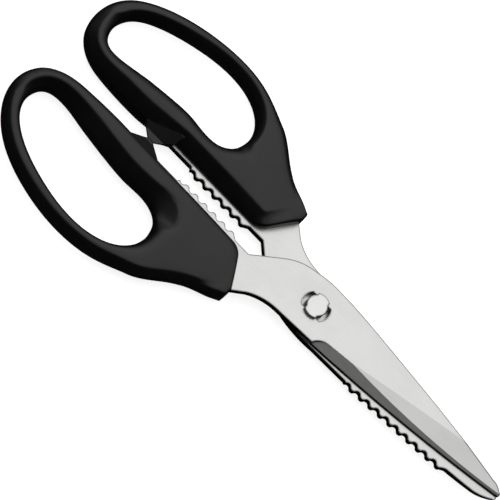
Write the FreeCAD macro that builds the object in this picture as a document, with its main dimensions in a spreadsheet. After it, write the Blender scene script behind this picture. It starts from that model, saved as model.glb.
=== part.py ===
import FreeCAD, Part
import math
import os
import Sketcher

from FreeCAD import Placement, Rotation, Vector

# Take-apart poultry shears: two ground steel blades on an eared stud, with moulded looped handles.
#
# Everything is drawn about the pivot: +X to the tip, +Y to the rear blade's handle, +Z to the stud's head,
# and z = 0 between the two blades. Each sub-part's Placement then moves the drawing so that the origin is
# under the middle of the closed shears, on the surface that they lie on.

FRONT = -1  # the front half's handle is on the -Y side
REAR = 1    # the rear half's handle is on the +Y side

doc = FreeCAD.newDocument("poultry_shears")
sheet = doc.addObject("Spreadsheet::Sheet", "sizes")

DIMENSIONS = {
    # blades
    "blade_thickness": 3.0,
    "blade_gap": 0.1,
    "edge_flat": 0.05,
    "hone_width": 0.3,
    "hone_rise": 0.95,
    "bevel_slope": 0.522,
    "facet_slope": 0.197,
    # pivot
    "stud_radius": 3.95,
    "stud_clearance": 0.07,
    "head_reach": 4.8,
    "head_width": 5.4,
    "head_height": 1.3,
    "head_chamfer": 0.25,
    "head_gap": 0.1,
    "slot_reach": 5.5,
    "slot_width": 6.6,
    "tail_radius": 3.0,
    "rivet_radius": 4.4,
    "rivet_height": 0.6,
    # gripping jaw and scaler
    "jaw_half_gap": 4.6,
    "jaw_tooth_pitch": 4.5,
    "jaw_tooth_height": 1.2,
    "jaw_tooth_sink": 0.45,
    "scaler_pitch": 4.45,
    "scaler_depth": 1.3,
    # handles
    "handle_thickness": 12.4,
    "crown_height": 6.5,
    "moulding_blank": 15.0,
    "crown_radius_along": 680.0,
    "crown_radius_across": 270.0,
    "finger_rounding": 2.6,
    "edge_rounding": 1.0,
    "stop_thickness": 5.6,
    "stop_gap": 0.2,
    "anchor_radius": 1.2,
    "anchor_pitch": 12.0,
    "jaw_side_rounding": 7.0,
    # where the pivot stands in the finished part
    "pivot_along": 19.0,
    "pivot_across": 1.25,
    "pivot_lift": 6.2,
}


def fill_sheet():
    for row, (alias, number) in enumerate(DIMENSIONS.items(), start=1):
        sheet.set(f"A{row}", alias)
        sheet.set(f"B{row}", str(number))
        sheet.setAlias(f"B{row}", alias)
    doc.recompute()


def size(alias):
    return float(sheet.get(alias))


# ---------------------------------------------------------------- drawing helpers

def origin_plane(body, role):
    return next(feature for feature in body.Origin.OriginFeatures if feature.Role == role)


def new_body(name):
    return doc.addObject("PartDesign::Body", name)


def new_sketch(body, name, role="XY_Plane", offset=Placement()):
    sketch = body.newObject("Sketcher::SketchObject", name)
    sketch.AttachmentSupport = (origin_plane(body, role), [""])
    sketch.MapMode = "FlatFace"
    sketch.AttachmentOffset = offset
    return sketch


def point(xy, side=1):
    return Vector(xy[0], side * xy[1], 0)


def draw(sketch, start, moves, side=1):
    """Draw one closed outline: each move is (end), (middle, end) or a list that a curve passes through.

    A curve leaves in the direction of the move before it, or straight back if it comes first.
    """
    here = point(start, side)
    heading = Vector(-1, 0, 0)
    for move in moves:
        if isinstance(move, list):
            spots = [here] + [point(xy, side) for xy in move]
            curve = Part.BSplineCurve()
            curve.interpolate(spots, InitialTangent=heading, FinalTangent=spots[-1] - spots[-2])
            here = point(move[-1], side)
            heading = (spots[-1] - spots[-2]).normalize()
            sketch.addGeometry(curve)
            continue
        if isinstance(move[0], tuple):
            middle, end = (point(xy, side) for xy in move)
            sketch.addGeometry(Part.Arc(here, middle, end))
        else:
            end = point(move, side)
            sketch.addGeometry(Part.LineSegment(here, end))
        here = end


def rounded(before, corner, after, radius):
    """Moves that follow the two lines through a corner, with an arc in the corner tangent to both."""
    back = (point(before) - point(corner)).normalize()
    onward = (point(after) - point(corner)).normalize()
    half_angle = back.getAngle(onward) / 2
    reach = radius / math.tan(half_angle)
    bisector = (back + onward).normalize()
    start = point(corner) + back * reach
    middle = point(corner) + bisector * (radius / math.sin(half_angle) - radius)
    end = point(corner) + onward * reach
    return [(start.x, start.y), ((middle.x, middle.y), (end.x, end.y)), after]


def draw_circle(sketch, centre, alias):
    index = sketch.addGeometry(Part.Circle(point(centre), Vector(0, 0, 1), size(alias)))
    number = sketch.addConstraint(Sketcher.Constraint("Radius", index, size(alias)))
    sketch.renameConstraint(number, "radius")
    sketch.setExpression("Constraints.radius", f"sizes.{alias}")


def pad(body, sketch, length, midplane=False, reverse=False):
    feature = body.newObject("PartDesign::Pad", sketch.Name + "_pad")
    feature.Profile = sketch
    feature.setExpression("Length", length)
    feature.Midplane = midplane
    feature.Reversed = reverse
    return feature


def pocket_through(body, sketch):
    feature = body.newObject("PartDesign::Pocket", sketch.Name + "_cut")
    feature.Profile = sketch
    feature.Type = "ThroughAll"
    feature.Midplane = True
    return feature


def chamfer_end(body, name, width, height):
    """Take the sharp corner off all round the flat end face at that height."""
    doc.recompute()
    base = body.Tip
    tolerance = 0.01
    names = []
    for number, face in enumerate(base.Shape.Faces, start=1):
        if abs(face.CenterOfMass.z - height) < tolerance:
            names.append(f"Face{number}")
    chamfer = body.newObject("PartDesign::Chamfer", name)
    chamfer.Base = (base, names)
    chamfer.setExpression("Size", width)


def waves(start, end, count, height):
    """Rounded teeth between two points: arcs out and arcs back in, each half a pitch long."""
    run = Vector(end[0] - start[0], end[1] - start[1], 0)
    step = run.normalize() * (math.dist(start, end) / (2 * count))
    out = Vector(-run.y, run.x, 0) * (height / 2)
    here = Vector(start[0], start[1], 0)
    moves = []
    for half in range(2 * count):
        swing = out if half % 2 == 0 else out * -1
        middle = here + step * 0.5 + swing
        here = here + step
        moves.append(((middle.x, middle.y), (here.x, here.y)))
    return moves


def place(shape_owner, lift="0"):
    """Bind a sub-part's Placement to the pivot's place in the finished part."""
    shape_owner.setExpression("Placement.Base.x", "sizes.pivot_along")
    shape_owner.setExpression("Placement.Base.y", "sizes.pivot_across")
    shape_owner.setExpression("Placement.Base.z", f"sizes.pivot_lift + {lift}")


# ---------------------------------------------------------------- blades

EDGE_HEEL = (7.7, -10.6)
EDGE_MIDDLE = (50.0, -6.5)
EDGE_TIP = (91.9, -0.1)
TIP_MIDDLE = (92.4, 0.8)
SPINE_TIP = (91.4, 1.6)
NECK_CORNER = (-8.5, 9.55)


def edge_circle():
    """Centre and radius of the long arc that the cutting edge follows."""
    circle = Part.Circle(point(EDGE_HEEL), point(EDGE_MIDDLE), point(EDGE_TIP))
    return circle.Center, circle.Radius


def plain_spine():
    return [((90.2, 2.4), (87.0, 3.1)), ((72.0, 4.97), (56.0, 6.8)), ((38.0, 8.5), (20.0, 10.05)),
            ((12.0, 10.6), (3.0, 10.8)), ((-4.0, 10.45), NECK_CORNER)]


def scaler_spine():
    """The rear blade's back: a fish scaler of rounded teeth, then a plain stretch to the neck."""
    scaler_end = (70.9, 7.16)
    scaler_start = (26.4, 10.7)
    teeth = round(math.dist(scaler_start, scaler_end) / size("scaler_pitch"))
    return ([((88.6, 3.25), (84.5, 4.65)), (80.0, 5.3), (72.4, 6.2), scaler_end]
            + waves(scaler_end, scaler_start, teeth, -size("scaler_depth"))
            + [(25.4, 10.4), (10.0, 10.8), ((0.0, 10.9), NECK_CORNER)])


def tang(jaw):
    """From the neck's corner round the gripping jaw, back inside the handle, and out to the heel."""
    teeth = 6
    middle = -jaw + size("jaw_tooth_height") / 2 + size("jaw_tooth_sink")
    first = (-37.9, middle)
    last = (first[0] - teeth * size("jaw_tooth_pitch"), middle)
    return ([((-15.5, 7.3), (-20.0, 4.1)), (-29.6, -jaw), (-36.2, -jaw), first]
            + waves(first, last, teeth, -size("jaw_tooth_height"))
            + [(last[0] - 0.7, -jaw), (-76.0, -jaw), (-78.0, -6.6), (-106.0, -6.6),
               ((-108.0, -8.6), (-106.0, -10.6)), (-90.0, -10.6), (-62.0, -12.5), (-31.0, -20.6),
               ((-28.5, -21.0), (-26.5, -20.4)), (-20.5, -15.3), ((-15.0, -12.6), (-9.0, -11.5)),
               EDGE_HEEL])


def grind_bevel(name):
    """A cone-shaped wedge that follows the edge's arc, with a round run-out at the heel.

    Along the edge itself a steep, narrow honed strip comes first, and the wide bevel starts above it.
    """
    centre, radius = edge_circle()
    thickness = size("blade_thickness")
    slope = size("bevel_slope")
    flat = size("edge_flat")
    outward = (point(EDGE_HEEL) - centre).normalize()
    grinder = new_body(name + "_grinder")
    standing = Rotation(outward, Vector(0, 0, 1), outward.cross(Vector(0, 0, 1)), "XYZ")
    section = new_sketch(grinder, name + "_bevel", offset=Placement(centre, standing))
    clear = 3.0
    sweep = 90.0
    hone = (radius - size("hone_width"), flat + size("hone_rise"))
    roof = thickness + 1.0
    draw(section, (radius + clear, flat),
         [(radius, flat), hone, (hone[0] - (roof - hone[1]) / slope, roof), (radius + clear, roof),
          (radius + clear, flat)])
    wedge = grinder.newObject("PartDesign::Revolution", name + "_wedge")
    wedge.Profile = section
    wedge.ReferenceAxis = (section, ["V_Axis"])
    wedge.Angle = math.degrees(sweep / radius)
    run_out = new_sketch(grinder, name + "_run_out")
    back = EDGE_HEEL[0] - 4.0
    draw(run_out, (back, -20.0),
         [(back, 4.0), (25.0, 4.0), (25.0, -5.0), (20.0, -5.7), (13.0, -6.7), ((9.4, -8.2), EDGE_HEEL),
          (EDGE_HEEL[0], -20.0), (back, -20.0)])
    pocket_through(grinder, run_out)
    return grinder


def grind_facet(body, name):
    """The wide shallow facet above the bevel, whose upper line runs out into the spine."""
    thickness = size("blade_thickness")
    slope = size("facet_slope")
    below = 16.0
    above = 8.0
    roof = thickness + 4.0
    sections = []
    for along, upper in ((22.0, -5.45), (58.0, 2.45), (97.0, 10.0)):
        sketch = new_sketch(body, f"{name}_facet_{round(along)}", "YZ_Plane",
                            Placement(Vector(0, 0, along), Rotation()))
        low = (upper - below, thickness - below * slope)
        high = (upper + above, thickness + above * slope)
        draw(sketch, low, [high, (high[0], roof), (low[0], roof), low])
        sections.append(sketch)
    cut = body.newObject("PartDesign::SubtractiveLoft", name + "_facet")
    cut.Profile = sections[0]
    cut.Sections = sections[1:]


def add_anchors(body, name):
    """Three holes in the tang, which the handle's plastic fills."""
    first_place = (-80.0, -8.9)
    anchor = new_sketch(body, name + "_anchor")
    draw_circle(anchor, first_place, "anchor_radius")
    first_anchor = pocket_through(body, anchor)
    anchors = body.newObject("PartDesign::LinearPattern", name + "_anchors")
    anchors.Originals = [first_anchor]
    anchors.Direction = (anchor, ["H_Axis"])
    anchors.Reversed = True
    anchors.setExpression("Length", "sizes.anchor_pitch * 2")
    anchors.Occurrences = 3
    body.Tip = anchors


def blade(name, side, spine):
    """A blade drawn as the front one, ground side up. The rear one is turned over about the X axis."""
    body = new_body(name + "_blank")
    outline = new_sketch(body, name + "_outline")
    draw(outline, EDGE_HEEL, [(EDGE_MIDDLE, EDGE_TIP), (TIP_MIDDLE, SPINE_TIP)] + spine
         + tang(size("jaw_half_gap")))
    pad(body, outline, "sizes.blade_thickness")
    hole = new_sketch(body, name + "_pivot_hole")
    if side == FRONT:
        draw_eared(hole, size("stud_radius") + size("stud_clearance"), size("slot_reach"),
                   size("slot_width") / 2, Vector(1, 0, 0))
    else:
        draw_circle(hole, (0, 0), "tail_radius")
    pocket_through(body, hole)
    add_anchors(body, name)
    grind_facet(body, name)
    ground = doc.addObject("Part::Cut", name)
    ground.Base = body
    ground.Tool = grind_bevel(name)
    ground.Label = name
    place(ground, "sizes.blade_gap / 2 * " + ("1" if side == FRONT else "-1"))
    if side == REAR:
        ground.setExpression("Placement.Rotation.Axis.x", "1")
        ground.setExpression("Placement.Rotation.Axis.z", "0")
        ground.setExpression("Placement.Rotation.Angle", "180 deg")
    return ground


# ---------------------------------------------------------------- pivot

def draw_eared(sketch, radius, reach, half_width, direction):
    """A disc with two opposite ears along the given direction."""
    across = Vector(-direction.y, direction.x, 0)
    root = math.sqrt(radius ** 2 - half_width ** 2)
    end = math.sqrt(reach ** 2 - half_width ** 2)

    def at(along, sideways):
        spot = direction * along + across * sideways
        return (spot.x, spot.y)

    draw(sketch, at(root, half_width),
         [at(end, half_width), (at(reach, 0), at(end, -half_width)), at(root, -half_width),
          (at(0, -radius), at(-root, -half_width)), at(-end, -half_width),
          (at(-reach, 0), at(-end, half_width)), at(-root, half_width),
          (at(0, radius), at(root, half_width))])


def pivot_stud():
    """Shank in the front blade's slot, eared head above it, riveted tail through the rear blade."""
    body = new_body("pivot_stud")
    shank = new_sketch(body, "shank")
    draw_circle(shank, (0, 0), "stud_radius")
    pad(body, shank, "sizes.blade_gap * 1.5 + sizes.blade_thickness + sizes.head_height")
    head_start = size("blade_gap") + size("blade_thickness") + size("head_gap")
    head = new_sketch(body, "head", offset=Placement(Vector(0, 0, head_start), Rotation()))
    draw_eared(head, size("stud_radius"), size("head_reach"), size("head_width") / 2, Vector(0, 1, 0))
    pad(body, head, "sizes.blade_gap / 2 + sizes.head_height - sizes.head_gap")
    head_top = size("blade_gap") * 1.5 + size("blade_thickness") + size("head_height")
    chamfer_end(body, "head_edges", "sizes.head_chamfer", head_top)
    tail = new_sketch(body, "tail")
    draw_circle(tail, (0, 0), "tail_radius")
    pad(body, tail, "sizes.blade_thickness", reverse=True)
    tail_end = Placement(Vector(0, 0, -size("blade_thickness")), Rotation())
    rivet = new_sketch(body, "rivet", offset=tail_end)
    draw_circle(rivet, (0, 0), "rivet_radius")
    pad(body, rivet, "sizes.rivet_height", reverse=True)
    rivet_end = -size("blade_thickness") - size("rivet_height")
    chamfer_end(body, "rivet_edges", "sizes.rivet_height / 2", rivet_end)
    place(body, "-sizes.blade_gap / 2")
    body.Label = "pivot_stud"
    return body


# ---------------------------------------------------------------- handles

# Each loop: how far the jaw's side stands off, the free outer curve from beside the stop round the far end
# to the paddle, the paddle's straight flank down to the nose, and the finger hole. Distances across are
# measured outwards from the middle line of the closed shears.
FRONT_LOOP = {
    "jaw": 5.15,
    "outer": [(-81.0, 5.1), (-91.0, 4.75), (-108.0, 5.0), (-120.0, 6.8), (-127.8, 12.5), (-130.3, 21.2),
              (-125.0, 33.4), (-115.0, 41.5), (-100.0, 47.0), (-83.0, 49.0), (-67.0, 46.8), (-55.0, 42.1)],
    "paddle": [(-42.0, 32.5), (-33.0, 26.7), (-25.0, 22.4)],
    "hole": [(-100.0, 15.3), (-86.0, 17.0), (-77.0, 17.4), (-69.5, 17.1), (-61.5, 20.1), (-58.8, 26.4),
             (-62.5, 36.7), (-70.0, 41.5), (-84.0, 43.4), (-100.0, 40.6), (-114.0, 34.9), (-121.0, 28.5),
             (-122.7, 22.3), (-120.0, 15.2), (-113.0, 13.4)],
}
REAR_LOOP = {
    "jaw": 5.5,
    "outer": [(-81.0, 4.6), (-91.0, 3.55), (-107.0, 3.5), (-118.0, 5.3), (-125.3, 10.8), (-127.8, 19.5),
              (-124.5, 30.0), (-115.0, 37.9), (-100.0, 43.8), (-82.0, 46.5), (-67.0, 45.1), (-55.0, 40.9)],
    "paddle": [(-42.0, 31.9), (-33.0, 26.1), (-25.0, 22.2)],
    "hole": [(-98.0, 15.0), (-86.0, 16.5), (-77.0, 16.8), (-69.5, 16.0), (-61.5, 18.6), (-58.3, 25.3),
             (-61.8, 35.5), (-70.0, 40.2), (-82.0, 41.3), (-97.0, 38.4), (-109.0, 34.0), (-117.3, 28.0),
             (-119.9, 19.8), (-117.0, 13.3), (-110.0, 12.6)],
}
JAW_END = -73.0
JAW_CORNER = -33.5
NOSE = (-24.8, 19.3)
PADDLE_CENTRE = (-77.0, 12.0)


def closed_curve(sketch, spots, side):
    curve = Part.BSplineCurve()
    curve.interpolate([point(xy, side) for xy in spots], PeriodicFlag=True)
    sketch.addGeometry(curve)


def crown(body, name, side, face):
    """Turn the flat top or bottom into a shallow dome that is highest over the paddle."""
    along = size("crown_radius_along")
    across = size("crown_radius_across")
    height = size("crown_height")
    drop = along - height
    sketch = new_sketch(body, name, "YZ_Plane",
                        Placement(Vector(0, -drop * face, PADDLE_CENTRE[0]), Rotation()))
    half_span = 60.0
    sweep = 24.0
    fall = across - math.sqrt(across ** 2 - half_span ** 2)
    middle = side * PADDLE_CENTRE[1]
    edge_height = face * (along - fall)
    roof = face * (along + size("handle_thickness"))
    draw(sketch, (middle - half_span, edge_height),
         [((middle, face * along), (middle + half_span, edge_height)), (middle + half_span, roof),
          (middle - half_span, roof), (middle - half_span, edge_height)])
    cut = body.newObject("PartDesign::Groove", name + "_cut")
    cut.Profile = sketch
    cut.ReferenceAxis = (sketch, ["H_Axis"])
    cut.Midplane = True
    cut.Angle = sweep


def round_rims(body, name, radius, of_hole):
    """Round the rims, top and bottom, of the finger hole or of the outside. The blunt nose stays sharp."""
    base = body.Tip
    behind_nose = NOSE[0] - 0.5
    names = []
    for number, edge in enumerate(base.Shape.Edges, start=1):
        middle = edge.valueAt((edge.FirstParameter + edge.LastParameter) / 2)
        on_rim = abs(middle.z) > size("crown_height") / 2
        closed = len(edge.Vertexes) == 1
        if on_rim and closed == of_hole and middle.x < behind_nose:
            names.append(f"Edge{number}")
    rounding = body.newObject("PartDesign::Fillet", name)
    rounding.Base = (base, names)
    rounding.setExpression("Radius", radius)
    doc.recompute()


def flatten(body, name, face):
    """Take the top of the crown off, so that the handle lies on a flat patch."""
    offset = Placement(Vector(0, 0, face * size("handle_thickness") / 2), Rotation())
    sketch = new_sketch(body, name, offset=offset)
    low = (-140.0, -60.0)
    high = (-10.0, 60.0)
    draw(sketch, low, [(high[0], low[1]), high, (low[0], high[1]), low])
    cut = body.newObject("PartDesign::Pocket", name + "_cut")
    cut.Profile = sketch
    cut.Type = "ThroughAll"
    cut.Reversed = face > 0


def handle(name, side, loop, blade_part):
    body = new_body(name + "_moulding")
    outline = new_sketch(body, name + "_outline")
    jaw_end = (JAW_END, loop["jaw"])
    jaw_corner = (JAW_CORNER, loop["jaw"])
    jaw_side = rounded(NOSE, jaw_corner, jaw_end, size("jaw_side_rounding"))
    draw(outline, jaw_end, [loop["outer"], loop["paddle"], NOSE] + jaw_side, side)
    pad(body, outline, "sizes.moulding_blank", midplane=True)
    hole = new_sketch(body, name + "_finger_hole")
    closed_curve(hole, loop["hole"], side)
    pocket_through(body, hole)
    crown(body, name + "_top", side, 1)
    crown(body, name + "_bottom", side, -1)
    doc.recompute()
    round_rims(body, name + "_finger_rounding", "sizes.finger_rounding", True)
    round_rims(body, name + "_rounding", "sizes.edge_rounding", False)
    flatten(body, name + "_top_flat", 1)
    flatten(body, name + "_bottom_flat", -1)
    stop = new_sketch(body, name + "_stop")
    face = size("stop_gap") / 2
    draw(stop, (-89.0, 6.5),
         [(-89.0, 4.5), (-83.6, face), (-81.0, face), (-75.5, 4.5), (-75.5, 6.5), (-89.0, 6.5)], side)
    pad(body, stop, "sizes.stop_thickness", midplane=True)
    place(body)
    moulded = doc.addObject("Part::Cut", name)
    moulded.Base = body
    moulded.Tool = blade_part
    moulded.Label = name
    return moulded


# ---------------------------------------------------------------- assembly

def check(parts):
    for item in doc.Objects:
        if "Invalid" in item.State or "Error" in item.State:
            raise RuntimeError(f"{item.Name} failed: {item.State}")
    for part in parts:
        shape = part.Shape
        if shape.isNull() or not shape.isValid() or len(shape.Solids) != 1:
            raise RuntimeError(f"{part.Label} is not one valid solid")


def main():
    fill_sheet()
    front_blade = blade("front_blade", FRONT, plain_spine())
    rear_blade = blade("rear_blade", REAR, scaler_spine())
    parts = [
        front_blade,
        rear_blade,
        pivot_stud(),
        handle("front_handle", FRONT, FRONT_LOOP, front_blade),
        handle("rear_handle", REAR, REAR_LOOP, rear_blade),
    ]
    doc.recompute()
    check(parts)
    os.makedirs("parts", exist_ok=True)
    for part in parts:
        part.Shape.exportStep(f"parts/{part.Label}.step")


main()
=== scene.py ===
import math

import bmesh
import bpy
import numpy as np
from mathutils import Matrix, Vector
from mathutils.geometry import delaunay_2d_cdt


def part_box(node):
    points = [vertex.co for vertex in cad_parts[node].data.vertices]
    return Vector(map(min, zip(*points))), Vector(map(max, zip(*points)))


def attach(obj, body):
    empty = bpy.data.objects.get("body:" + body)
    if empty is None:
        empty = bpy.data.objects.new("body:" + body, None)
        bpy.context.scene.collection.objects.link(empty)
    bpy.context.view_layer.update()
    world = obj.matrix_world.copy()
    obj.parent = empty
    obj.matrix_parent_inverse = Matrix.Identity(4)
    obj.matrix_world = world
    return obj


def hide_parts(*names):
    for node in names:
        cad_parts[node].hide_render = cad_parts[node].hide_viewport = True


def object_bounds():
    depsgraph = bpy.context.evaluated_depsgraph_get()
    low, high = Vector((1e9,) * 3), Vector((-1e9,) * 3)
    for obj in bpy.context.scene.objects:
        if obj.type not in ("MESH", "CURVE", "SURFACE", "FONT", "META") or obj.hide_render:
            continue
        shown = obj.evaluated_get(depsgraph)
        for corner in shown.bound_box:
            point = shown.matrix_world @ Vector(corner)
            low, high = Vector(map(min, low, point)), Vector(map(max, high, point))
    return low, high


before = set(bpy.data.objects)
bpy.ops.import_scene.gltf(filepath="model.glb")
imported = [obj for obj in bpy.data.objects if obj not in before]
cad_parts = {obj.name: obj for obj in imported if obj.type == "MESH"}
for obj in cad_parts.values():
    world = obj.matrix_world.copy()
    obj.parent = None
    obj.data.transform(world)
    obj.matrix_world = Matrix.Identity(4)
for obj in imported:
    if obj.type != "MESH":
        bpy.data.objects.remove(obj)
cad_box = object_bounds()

MM = 0.001
STUD_LOW, STUD_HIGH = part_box("pivot_stud")
PIVOT = Vector((STUD_LOW + STUD_HIGH) / 2)
PIVOT.z = (cad_box[0].z + cad_box[1].z) / 2  # the blades meet half way up the handles

# The camera looks down on the shears, tilted towards their -Y side and turned in the picture.
TILT = math.radians(25.0)
TURN = math.radians(45.9)
DISTANCE = 2.0
VIEW_WIDTH = 0.175
SENSOR = 36.0
AIM_LEFT = 0.0236  # the middle of the view, seen from the stud's top
AIM_UP = 0.0194

FLOOR_HALF = 4.0
FLOOR_DEPTH = 0.0002  # keeps the floor clear of the faces that lie on it
FLOOR_TONE = 0.92
FLOOR_GLOW = 0.85  # shows the floor as white under a light that leaves the shears' sides dark

KEY_FROM = (-0.45, 0.75, 1.3)  # directions to the lights, behind the shears on the +Y side and above
DOME_FROM = (-0.2, 0.45, 0.87)
DOME_SPREAD = (0.36, 0.95)  # cosines of the angle to that direction, at the dark side and at the bright one
DOME_STRENGTH = (0.01, 1.0)
HORIZON = (-0.15, 0.02)  # heights on the dome
HORIZON_STRENGTH = (0.05, 1.0)

NOISE_SPAN = (0.3, 0.7)  # most of a noise texture's values lie between these


# ---------------------------------------------------------------- node helpers

def node(tree, kind, inputs=None, **settings):
    """A new node; each of its inputs, by name or number, takes a plain value or another node's output."""
    made = tree.nodes.new(kind)
    for name, setting in settings.items():
        setattr(made, name, setting)
    for name, value in (inputs or {}).items():
        if isinstance(value, bpy.types.NodeSocket):
            tree.links.new(value, made.inputs[name])
        else:
            made.inputs[name].default_value = value
    return made


def remap(tree, value, span, result):
    """A value that goes smoothly between the two results while the given one crosses its span."""
    inputs = {"Value": value, "From Min": span[0], "From Max": span[1],
              "To Min": result[0], "To Max": result[1]}
    return node(tree, "ShaderNodeMapRange", inputs, interpolation_type="SMOOTHSTEP").outputs["Result"]


def times(tree, first, second):
    return node(tree, "ShaderNodeMath", {0: first, 1: second}, operation="MULTIPLY").outputs[0]


def mix_values(tree, factor, first, second):
    return node(tree, "ShaderNodeMix", {0: factor, 2: first, 3: second}, data_type="FLOAT").outputs[0]


def mix_colours(tree, factor, first, second):
    return node(tree, "ShaderNodeMix", {0: factor, 6: first, 7: second}, data_type="RGBA").outputs[2]


def noise(tree, place, scale, detail, roughness):
    inputs = {"Vector": place, "Scale": scale, "Detail": detail, "Roughness": roughness}
    return node(tree, "ShaderNodeTexNoise", inputs).outputs["Fac"]


def new_material(name):
    material = bpy.data.materials.new(name)
    material.use_nodes = True
    return material, material.node_tree, material.node_tree.nodes["Principled BSDF"]


# ---------------------------------------------------------------- camera, floor and light

def make_camera():
    across = Vector((0.0, math.cos(TILT), math.sin(TILT)))
    back = Vector((0.0, -math.sin(TILT), math.cos(TILT)))
    along = Vector((1.0, 0.0, 0.0))
    right = math.cos(TURN) * along + math.sin(TURN) * across
    up = -math.sin(TURN) * along + math.cos(TURN) * across
    centre = Vector((PIVOT.x, PIVOT.y, STUD_HIGH.z))
    aim = centre - AIM_LEFT * right + AIM_UP * up
    data = bpy.data.cameras.new("camera")
    data.sensor_width = SENSOR
    data.lens = SENSOR * DISTANCE / VIEW_WIDTH
    data.clip_start = 0.1
    data.clip_end = 20.0
    camera = bpy.data.objects.new("camera", data)
    bpy.context.scene.collection.objects.link(camera)
    turn = Matrix((right, up, back)).transposed().to_4x4()
    camera.matrix_world = Matrix.Translation(aim + back * DISTANCE) @ turn
    bpy.context.scene.camera = camera


def make_floor():
    """A plain pale floor, which the steel doesn't mirror."""
    mesh = bpy.data.meshes.new("floor")
    corners = [(x * FLOOR_HALF, y * FLOOR_HALF, 0) for x, y in ((-1, -1), (1, -1), (1, 1), (-1, 1))]
    mesh.from_pydata(corners, [], [(0, 1, 2, 3)])
    floor = bpy.data.objects.new("floor", mesh)
    floor.location.z = -FLOOR_DEPTH
    bpy.context.scene.collection.objects.link(floor)
    material, tree, shader = new_material("floor")
    shader.inputs["Base Color"].default_value = (FLOOR_TONE, FLOOR_TONE, FLOOR_TONE, 1)
    shader.inputs["Roughness"].default_value = 0.95
    shader.inputs["Specular IOR Level"].default_value = 0.0
    shader.inputs["Emission Color"].default_value = (1, 1, 1, 1)
    shader.inputs["Emission Strength"].default_value = FLOOR_GLOW
    mesh.materials.append(material)
    floor.visible_glossy = False


def area_light(name, direction, distance, width, power):
    data = bpy.data.lights.new(name, "AREA")
    data.shape = "DISK"
    data.size = width
    data.energy = power
    light = bpy.data.objects.new(name, data)
    bpy.context.scene.collection.objects.link(light)
    towards = Vector(direction).normalized()
    light.location = towards * distance
    light.rotation_mode = "QUATERNION"
    light.rotation_quaternion = towards.to_track_quat("Z", "Y")


def make_light():
    """A soft dome, bright where the light comes from and dark below the horizon, and a weak key."""
    area_light("key", KEY_FROM, distance=2.4, width=2.2, power=2.0)
    world = bpy.data.worlds.new("studio")
    bpy.context.scene.world = world
    world.use_nodes = True
    tree = world.node_tree
    direction = node(tree, "ShaderNodeTexCoord").outputs["Generated"]
    light_from = Vector(DOME_FROM).normalized()
    facing = node(tree, "ShaderNodeVectorMath", {0: direction, 1: light_from}, operation="DOT_PRODUCT")
    side = remap(tree, facing.outputs["Value"], DOME_SPREAD, DOME_STRENGTH)
    split = node(tree, "ShaderNodeSeparateXYZ", {0: direction})
    height = remap(tree, split.outputs["Z"], HORIZON, HORIZON_STRENGTH)
    background = tree.nodes["Background"]
    background.inputs["Color"].default_value = (1, 1, 1, 1)
    tree.links.new(times(tree, side, height), background.inputs["Strength"])
    bpy.context.scene.view_settings.view_transform = "Standard"


# ---------------------------------------------------------------- materials

BEVEL_MARKS = (160.0, 5200.0, 5200.0)  # grains of noise in a metre along X, Y and Z
FLAT_MARKS = (260.0, 7000.0, 500.0)
CLOUDS = (45.0, 60.0, 45.0)
FLAT_UPRIGHT = (0.9, 0.97)  # the normal's share along Z: the ground bevels are below, the flats above
RIM_UPRIGHT = (0.35, 0.6)
EDGE_RADIUS = 0.0015
EDGE_BEND = (0.84, 0.97)  # cosine between a face and the face as if its edges were rounded
# how far the tone falls at the edges: a painted dark outline of shade
EDGE_PAINTED_SHADE = (0.25, 1.0)


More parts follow.
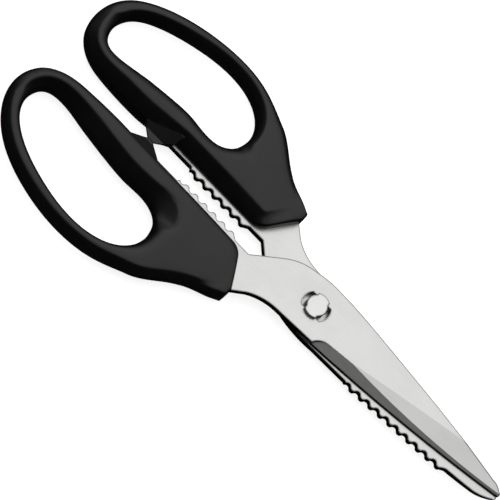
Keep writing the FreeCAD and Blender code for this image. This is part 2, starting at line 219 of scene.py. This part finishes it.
def steel(name, flat_tone, ground_painted_shade_tone, rim_sawn_and_painted_shade_tone, grain):
    """Satin steel: flat faces, ground bevels and sawn rims differ in roughness by how they face, and in tone
    by painted shade: the bevels get a painted dark reflection, and the rims get a duller sawn finish with
    painted shade on top.

    Grinding marks run along the blade, fine on the bevels and broader on the flats; grain is how much they
    show in the tone. The tone is darkened along every edge as a painted shade outline.
    """
    material, tree, shader = new_material(name)
    link = tree.links.new
    place = node(tree, "ShaderNodeTexCoord")
    split = node(tree, "ShaderNodeSeparateXYZ", {0: place.outputs["Normal"]})
    upright = node(tree, "ShaderNodeMath", {0: split.outputs["Z"]}, operation="ABSOLUTE").outputs[0]
    flat = remap(tree, upright, FLAT_UPRIGHT, (0.0, 1.0))
    rim = remap(tree, upright, RIM_UPRIGHT, (1.0, 0.0))

    def marks(scale, detail):
        stretched = node(tree, "ShaderNodeMapping", {"Vector": place.outputs["Object"], "Scale": scale})
        return noise(tree, stretched.outputs["Vector"], 1.0, detail, 0.6)

    fine = mix_values(tree, flat, marks(BEVEL_MARKS, 3.0), marks(FLAT_MARKS, 3.0))
    clouds = marks(CLOUDS, 4.0)

    def shade(tone):
        return (tone, tone, tone * 0.985, 1.0)

    # painted shade: the ground bevels and the rims get darker copies of the flat tone by how they face, the
    # rims partly for their duller sawn finish
    tone = mix_colours(tree, flat, shade(ground_painted_shade_tone), shade(flat_tone))
    tone = mix_colours(tree, rim, tone, shade(rim_sawn_and_painted_shade_tone))
    # painted shade: a dark outline along the edges, where a rounded normal bends away from the face's own
    rounded = node(tree, "ShaderNodeBevel", {"Radius": EDGE_RADIUS}, samples=8)
    surface = node(tree, "ShaderNodeNewGeometry")
    bend = node(tree, "ShaderNodeVectorMath", {0: rounded.outputs["Normal"], 1: surface.outputs["Normal"]},
                operation="DOT_PRODUCT")
    edge = remap(tree, bend.outputs["Value"], EDGE_BEND, EDGE_PAINTED_SHADE)
    uneven = remap(tree, clouds, NOISE_SPAN, (0.965, 1.035))
    streaks = remap(tree, fine, NOISE_SPAN, (1.0 - grain, 1.0 + grain))
    strength = times(tree, times(tree, uneven, streaks), edge)
    colour = node(tree, "ShaderNodeVectorMath", {0: tone, "Scale": strength}, operation="SCALE")
    link(colour.outputs["Vector"], shader.inputs["Base Color"])

    rough = mix_values(tree, flat, 0.42, 0.34)
    swing = remap(tree, fine, NOISE_SPAN, (-1.0, 1.0))
    marked = node(tree, "ShaderNodeMath", {0: swing, 1: 0.05, 2: rough}, operation="MULTIPLY_ADD")
    link(marked.outputs["Value"], shader.inputs["Roughness"])
    bump = node(tree, "ShaderNodeBump", {"Strength": 0.12, "Distance": 0.00002, "Height": fine})
    link(bump.outputs["Normal"], shader.inputs["Normal"])
    shader.inputs["Metallic"].default_value = 1.0
    return material


def plastic():
    """Satin black moulding: a very fine spark-eroded texture and faint patches of sheen."""
    material, tree, shader = new_material("handle_plastic")
    link = tree.links.new
    place = node(tree, "ShaderNodeTexCoord").outputs["Object"]
    fine = noise(tree, place, 5200.0, 2.0, 0.6)
    patches = noise(tree, place, 55.0, 5.0, 0.55)
    link(remap(tree, patches, NOISE_SPAN, (0.34, 0.42)), shader.inputs["Roughness"])
    tone = mix_colours(tree, patches, (0.0028, 0.0028, 0.0030, 1), (0.0042, 0.0042, 0.0043, 1))
    link(tone, shader.inputs["Base Color"])
    bump = node(tree, "ShaderNodeBump", {"Strength": 0.25, "Distance": 0.00003, "Height": fine})
    link(bump.outputs["Normal"], shader.inputs["Normal"])
    return material


# ---------------------------------------------------------------- outlines of the handles

# The handles are worked out in mm about the pivot, with X along the closed shears towards the tip.
MIDDLE = np.array((PIVOT.x, PIVOT.y, PIVOT.z)) / MM
BESIDE_TANG = 0.6  # height of the cut that gives the outline, on the side of the blades' plane with no tang
LEAST_POINTS = 20  # a loop of the cut with fewer points is not an outline


def in_frame(x, y, z):
    """Where a spot in mm about the pivot is in the frame, in metres."""
    return tuple((np.array((x, y, z)) + MIDDLE) * MM)


def outline_loops(name):
    """The closed outlines of a handle, longest first: the outside and the finger hole."""
    solid = bmesh.new()
    solid.from_mesh(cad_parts[name].data)
    bmesh.ops.remove_doubles(solid, verts=solid.verts[:], dist=0.001 * MM)
    height = -BESIDE_TANG if name.startswith("front") else BESIDE_TANG
    cut = bmesh.ops.bisect_plane(solid, geom=solid.verts[:] + solid.edges[:] + solid.faces[:],
                                 plane_co=(0, 0, PIVOT.z + height * MM), plane_no=(0, 0, 1))
    edges = {e for e in cut["geom_cut"] if isinstance(e, bmesh.types.BMEdge)}
    loops = []
    while edges:
        edge = edges.pop()
        start, here = edge.verts
        loop = [start.co.copy()]
        while here is not start:
            loop.append(here.co.copy())
            onward = next((e for e in here.link_edges if e in edges), None)
            if onward is None:
                break
            edges.discard(onward)
            here = onward.other_vert(here)
        if len(loop) >= LEAST_POINTS:
            loops.append(same_start(np.array([tuple(v) for v in loop])[:, :2] / MM - MIDDLE[:2]))
    solid.free()
    return sorted(loops, key=lambda loop: -np.ptp(loop[:, 0]))


def same_start(loop):
    """The same closed loop anticlockwise from its point furthest from the tip, however it was found."""
    x, y = loop[:, 0], loop[:, 1]
    if np.sum(x * np.roll(y, -1) - y * np.roll(x, -1)) < 0:
        loop = loop[::-1]
    return np.roll(loop, -np.lexsort((loop[:, 1], loop[:, 0]))[0], axis=0)


def even_steps(loop, step):
    """The same closed loop with points a step apart."""
    closed = np.vstack([loop, loop[:1]])
    keep = np.r_[True, np.linalg.norm(np.diff(closed, axis=0), axis=1) > 1e-6]
    closed = closed[keep]
    run = np.r_[0, np.cumsum(np.linalg.norm(np.diff(closed, axis=0), axis=1))]
    at = np.linspace(0, run[-1], int(run[-1] / step), endpoint=False)
    return np.stack([np.interp(at, run, closed[:, k]) for k in (0, 1)], 1)


def distance(points, loop):
    """Distance from each point to the nearest spot on a closed loop."""
    run = np.roll(loop, -1, axis=0) - loop
    best = np.full(len(points), np.inf)
    batch = 2000
    for start in range(0, len(points), batch):
        p = points[start:start + batch, None, :] - loop[None]
        t = np.clip((p * run).sum(2) / np.maximum((run * run).sum(1), 1e-12), 0, 1)
        best[start:start + batch] = np.sqrt(((p - t[..., None] * run) ** 2).sum(2)).min(1)
    return best


def both_gaps(points, outer, hole):
    """Distance from each point to the outline and to the finger hole."""
    return distance(points, outer), distance(points, hole)


def inside(points, loop):
    """Whether each point is inside a closed loop."""
    x, y = points[:, :1], points[:, 1:]
    ax, ay = loop[:, 0], loop[:, 1]
    bx, by = np.roll(ax, -1), np.roll(ay, -1)
    rise = np.where(by == ay, 1e-12, by - ay)
    crosses = ((ay > y) != (by > y)) & (x < (bx - ax) * (y - ay) / rise + ax)
    return crosses.sum(1) % 2 == 1


# ---------------------------------------------------------------- section of the handles

HALF_THICKNESS = round(PIVOT.z / MM, 3)
CROWN_TOP = 6.5  # the crown would stand this high, but its top is cut flat at half the thickness
CROWN_AT = (-77.0, 12.0)
CROWN_WIDTHS = (1360.0, 540.0)  # along and across; the larger, the slower the crown falls
LIMB_SHARE = 0.47  # the most of a limb's width that one edge takes, apart from the scoop

# Where the section changes, from nothing of the change to all of it, in mm from the middle line or along X.
INNER_LIMB = (26.0, 18.0)
FULLER_LIMB = (11.0, 17.0)
SCOOP = (-72.0, -60.0)
NOSE = (-38.0, -28.0)

OUTER_ROUND = 3.2  # and a millimetre more on the fuller limb
HOLE_ROUND = 5.2
NOSE_ROUND = 1.1
FLANK_REACH = 2.3
FLANK_DROP = 2.6
OUTER_EXTRA_REACH = 2.6  # what the inner limb's flanks have beyond the outer limb's
HOLE_EXTRA_REACH = 2.7
EXTRA_DROP = 2.0
SCOOP_REACH = 2.5  # and what the hole's side has beyond that behind the paddle
SCOOP_DROP = 0.8
OUTER_WALL = 1.5  # the least half thickness left at the foot of a flank
HOLE_WALL = 0.9


def fade(value, start, end):
    """Goes smoothly from 0 at start to 1 at end."""
    t = np.clip((value - start) / (end - start), 0, 1)
    return t * t * (3 - 2 * t)


def circle_fall(gap, radius):
    """How far a quarter circle of that radius lies under its top at each distance from the edge."""
    run = np.clip(radius - gap, 0, None)
    return radius - np.sqrt(np.clip(radius ** 2 - run ** 2, 0, None))


def flank_fall(gap, reach, drop):
    """The same for a straight flank with a narrow ridge above it and a small rounding below it."""
    ridge = 0.45
    foot_round = 1.0
    run = reach - gap
    return drop / reach * (np.sqrt(run ** 2 + ridge ** 2) + run) / 2 + circle_fall(gap, foot_round)


def half_height(points, outer_gap, hole_gap, lean):
    """Height of one face of the handle above its middle plane at each point, and how far in its edges reach.

    The section leans: on one face the sides that look one way are straight flanks and the others are round,
    and on the other face it is the reverse. Lean is 1 where the hole's side of the inner limb has the flank.
    """
    x, y = points[:, 0], np.abs(points[:, 1])
    crown = CROWN_TOP - (x - CROWN_AT[0]) ** 2 / CROWN_WIDTHS[0] - (y - CROWN_AT[1]) ** 2 / CROWN_WIDTHS[1]
    crown = np.minimum(crown, HALF_THICKNESS)
    inner = fade(y, *INNER_LIMB)
    scoop = fade(x, *SCOOP) * inner
    nose = fade(x, *NOSE)
    limit = LIMB_SHARE * (outer_gap + hole_gap)

    outer_round = np.minimum(OUTER_ROUND + fade(y, *FULLER_LIMB), limit)
    hole_round = np.minimum(HOLE_ROUND, limit)
    outer_reach = np.minimum(FLANK_REACH + OUTER_EXTRA_REACH * inner, limit)
    outer_drop = np.minimum(FLANK_DROP + EXTRA_DROP * inner, crown - OUTER_WALL)
    hole_reach = np.minimum(FLANK_REACH + HOLE_EXTRA_REACH * inner, limit) + SCOOP_REACH * scoop
    hole_drop = np.minimum(FLANK_DROP + EXTRA_DROP * inner + SCOOP_DROP * scoop, crown - HOLE_WALL)

    hole_flank = inner if lean > 0 else 1 - inner
    outer_flank = 1 - hole_flank
    outer_fall = (outer_flank * flank_fall(outer_gap, outer_reach, outer_drop)
                  + (1 - outer_flank) * circle_fall(outer_gap, outer_round))
    hole_fall = (hole_flank * flank_fall(hole_gap, hole_reach, hole_drop)
                 + (1 - hole_flank) * circle_fall(hole_gap, hole_round))
    outer_fall = outer_fall * (1 - nose) + circle_fall(outer_gap, NOSE_ROUND) * nose
    return crown - outer_fall - hole_fall, outer_reach, hole_reach


# ---------------------------------------------------------------- mesh of the handles

OUTLINE_STEP = 0.7
GRID_STEP = 1.3
EDGE_DEPTHS = (0.06, 0.22, 0.5, 0.95)  # rings of points that follow the rounding below a flank
RIDGE_OFFSETS = (-0.75, -0.35, 0.0, 0.35, 0.75)  # rings on either side of the ridge above it
RING_SHARE = 0.97  # a ring's point stays if it is at least this share of its offset from the outlines,
RING_SLACK = 0.01  # less a little
LEAST_OFFSET = 0.05
GRID_EDGE_ROOM = 0.7
GRID_RING_ROOM_SQUARED = 0.8

STOP_GAP = 0.1  # half the gap between the two stops when the shears are closed
STOP_START, STOP_END = -90.0, -74.5
STOP_FOOT = 5.4  # the handle's own outline is further than this from the middle line along the stop
STOP_PLAN = [(STOP_START, 8.6), (-89.0, 4.5), (-83.6, STOP_GAP),
             (-81.0, STOP_GAP), (-75.5, 4.5), (STOP_END, 8.6)]
STOP_OVERHANG = (-92.0, -72.0)  # ends of the bar that the stop is cut from
FRONT_STOP_TOP = [(8.6, 5.6), (1.0, 0.8), (STOP_GAP, 0.6)]  # distance from the middle line, and height
REAR_STOP_TOP = [(8.3, 4.4), (2.4, 0.7), (STOP_GAP, 0.6)]


def inward(loop, side):
    """Unit vectors into the plastic, square to the loop: side is 1 on the outside and -1 round a hole."""
    run = np.roll(loop, -1, axis=0) - np.roll(loop, 1, axis=0)
    run /= np.linalg.norm(run, axis=1)[:, None]
    return np.stack([-run[:, 1], run[:, 0]], 1) * side


def edge_rings(outer, hole, lean):
    """Points of the face in rings along both outlines, close together where the face bends."""
    rings = []
    for loop, side, own in ((outer, 1, 1), (hole, -1, 2)):
        reach = half_height(loop, *both_gaps(loop, outer, hole), lean)[own]
        offsets = [np.full(len(loop), depth) for depth in EDGE_DEPTHS]
        offsets += [reach + step for step in RIDGE_OFFSETS]
        for offset in offsets:
            spots = loop + inward(loop, side) * offset[:, None]
            near = np.minimum(*both_gaps(spots, outer, hole))
            in_place = near > offset * RING_SHARE - RING_SLACK  # not where it folds over or meets another
            rings.append(spots[in_place & (offset > LEAST_OFFSET)])
    return np.vstack(rings)


def face_grid(outer, hole, taken):
    """An even grid of points over the rest of the face."""
    low, high = outer.min(0), outer.max(0)
    steps = [np.arange(low[k], high[k], GRID_STEP) for k in (0, 1)]
    grid = np.stack(np.meshgrid(*steps), -1).reshape(-1, 2)
    grid = grid[inside(grid, outer) & ~inside(grid, hole)]
    clear = np.minimum(*both_gaps(grid, outer, hole)) > GRID_EDGE_ROOM
    far = np.array([np.min(np.sum((taken - g) ** 2, 1)) > GRID_RING_ROOM_SQUARED for g in grid])
    return grid[far & clear]


def triangulate(outer, hole, between):
    """Corners and anticlockwise triangles that fill the outline round the hole."""
    corners = np.vstack([outer, hole, between])
    n, m = len(outer), len(hole)
    borders = [(i, (i + 1) % n) for i in range(n)]
    borders += [(n + i, n + (i + 1) % m) for i in range(m)]
    filled = delaunay_2d_cdt([Vector(p) for p in corners], borders, [], 1, 1e-5)
    xy = np.array([tuple(v) for v in filled[0]])
    middles = np.array([np.mean(xy[list(f)], 0) for f in filled[2]])
    kept = inside(middles, outer) & ~inside(middles, hole)
    faces = [tuple(f) for f, keep in zip(filled[2], kept) if keep]
    return xy, [f if np.cross(xy[f[1]] - xy[f[0]], xy[f[2]] - xy[f[0]]) > 0 else f[::-1] for f in faces]


def moulding(name):
    """The handle as it is moulded: the CAD outline with crowned faces and soft edges all round."""
    lean = 1 if name.startswith("front") else -1
    outer, hole = outline_loops(name)[:2]
    on_stop = (outer[:, 0] > STOP_START) & (outer[:, 0] < STOP_END) & (np.abs(outer[:, 1]) < STOP_FOOT)
    outer = even_steps(outer[~on_stop], OUTLINE_STEP)
    hole = even_steps(hole, OUTLINE_STEP)
    rings = edge_rings(outer, hole, lean)
    xy, tops = triangulate(outer, hole, np.vstack([rings, face_grid(outer, hole, rings)]))

    gaps = both_gaps(xy, outer, hole)
    top = half_height(xy, *gaps, lean)[0]
    bottom = -half_height(xy, *gaps, -lean)[0]
    verts = [in_frame(*p, z) for heights in (top, bottom) for p, z in zip(xy, heights)]
    count = len(xy)
    bottoms = [tuple(i + count for i in f[::-1]) for f in tops]
    sides = [(f[k], f[(k + 1) % 3]) for f in tops for k in range(3)]
    paired = set(sides)
    walls = [(b, a, a + count, b + count) for a, b in sides if (b, a) not in paired]

    mesh = bpy.data.meshes.new(name + "_moulded")
    mesh.from_pydata(verts, [], tops + bottoms + walls)
    mesh.update()
    mesh.validate()
    for polygon in mesh.polygons:
        polygon.use_smooth = True
    piece = bpy.data.objects.new(name + "_moulded", mesh)
    bpy.context.scene.collection.objects.link(piece)
    if name.startswith("front"):
        join(piece, stop(FRONT_STOP_TOP, -1))
    else:
        join(piece, stop(REAR_STOP_TOP, 1))
    return piece


def stop(top, side):
    """The stop, which meets the other handle's when the shears are closed: a bar cut to its plan.

    Its top slopes down to the middle line, its bottom is the same turned over, and side is its side of Y.
    """
    section = top + [(y, -z) for y, z in reversed(top)]
    solid = bmesh.new()
    ends = []
    for x in STOP_OVERHANG:
        ends.append([solid.verts.new(in_frame(x, y * side, z)) for y, z in section])
        solid.faces.new(ends[-1])
    for k in range(len(section)):
        j = (k + 1) % len(section)
        solid.faces.new((ends[0][k], ends[0][j], ends[1][j], ends[1][k]))
    for (ax, ay), (bx, by) in zip(STOP_PLAN, STOP_PLAN[1:]):
        if ay == by:
            continue  # the bar's own face at the middle line
        cut = bmesh.ops.bisect_plane(solid, geom=solid.verts[:] + solid.edges[:] + solid.faces[:],
                                     plane_co=in_frame(ax, ay * side, 0),
                                     plane_no=(by - ay, (ax - bx) * side, 0), clear_outer=True)
        rim = [e for e in cut["geom_cut"] if isinstance(e, bmesh.types.BMEdge)]
        bmesh.ops.edgeloop_fill(solid, edges=rim)
    bmesh.ops.recalc_face_normals(solid, faces=solid.faces[:])
    mesh = bpy.data.meshes.new("stop")
    solid.to_mesh(mesh)
    solid.free()
    block = bpy.data.objects.new("stop", mesh)
    bpy.context.scene.collection.objects.link(block)
    return block


def join(piece, block):
    """Make one closed mesh of a piece and a block that runs into it, and delete the block."""
    union = piece.modifiers.new("stop", "BOOLEAN")
    union.operation = "UNION"
    union.solver = "EXACT"
    union.object = block
    bpy.context.view_layer.update()
    evaluated = piece.evaluated_get(bpy.context.evaluated_depsgraph_get())
    joined = bpy.data.meshes.new_from_object(evaluated)
    piece.modifiers.clear()
    used = [piece.data, block.data]
    piece.data = joined
    joined.name = piece.name
    bpy.data.objects.remove(block)
    for mesh in used:
        bpy.data.meshes.remove(mesh)


# ---------------------------------------------------------------- the scene

def dress(name, material):
    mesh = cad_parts[name].data
    mesh.materials.clear()
    mesh.materials.append(material)


make_camera()
make_floor()
make_light()
# the ground and rim tones are darker copies of the flat tone: painted shade and painted dark reflection
blade_steel = steel("blade_steel", flat_tone=0.685, ground_painted_shade_tone=0.49, rim_sawn_and_painted_shade_tone=0.12, grain=0.06)
stud_steel = steel("stud_steel", flat_tone=0.76, ground_painted_shade_tone=0.6, rim_sawn_and_painted_shade_tone=0.2, grain=0.02)
black = plastic()
for name in ("front_blade", "rear_blade"):
    dress(name, blade_steel)
dress("pivot_stud", stud_steel)
for name, body in (("front_handle", "front_half"), ("rear_handle", "rear_half")):
    piece = moulding(name)
    piece.data.materials.append(black)
    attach(piece, body)
    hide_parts(name)
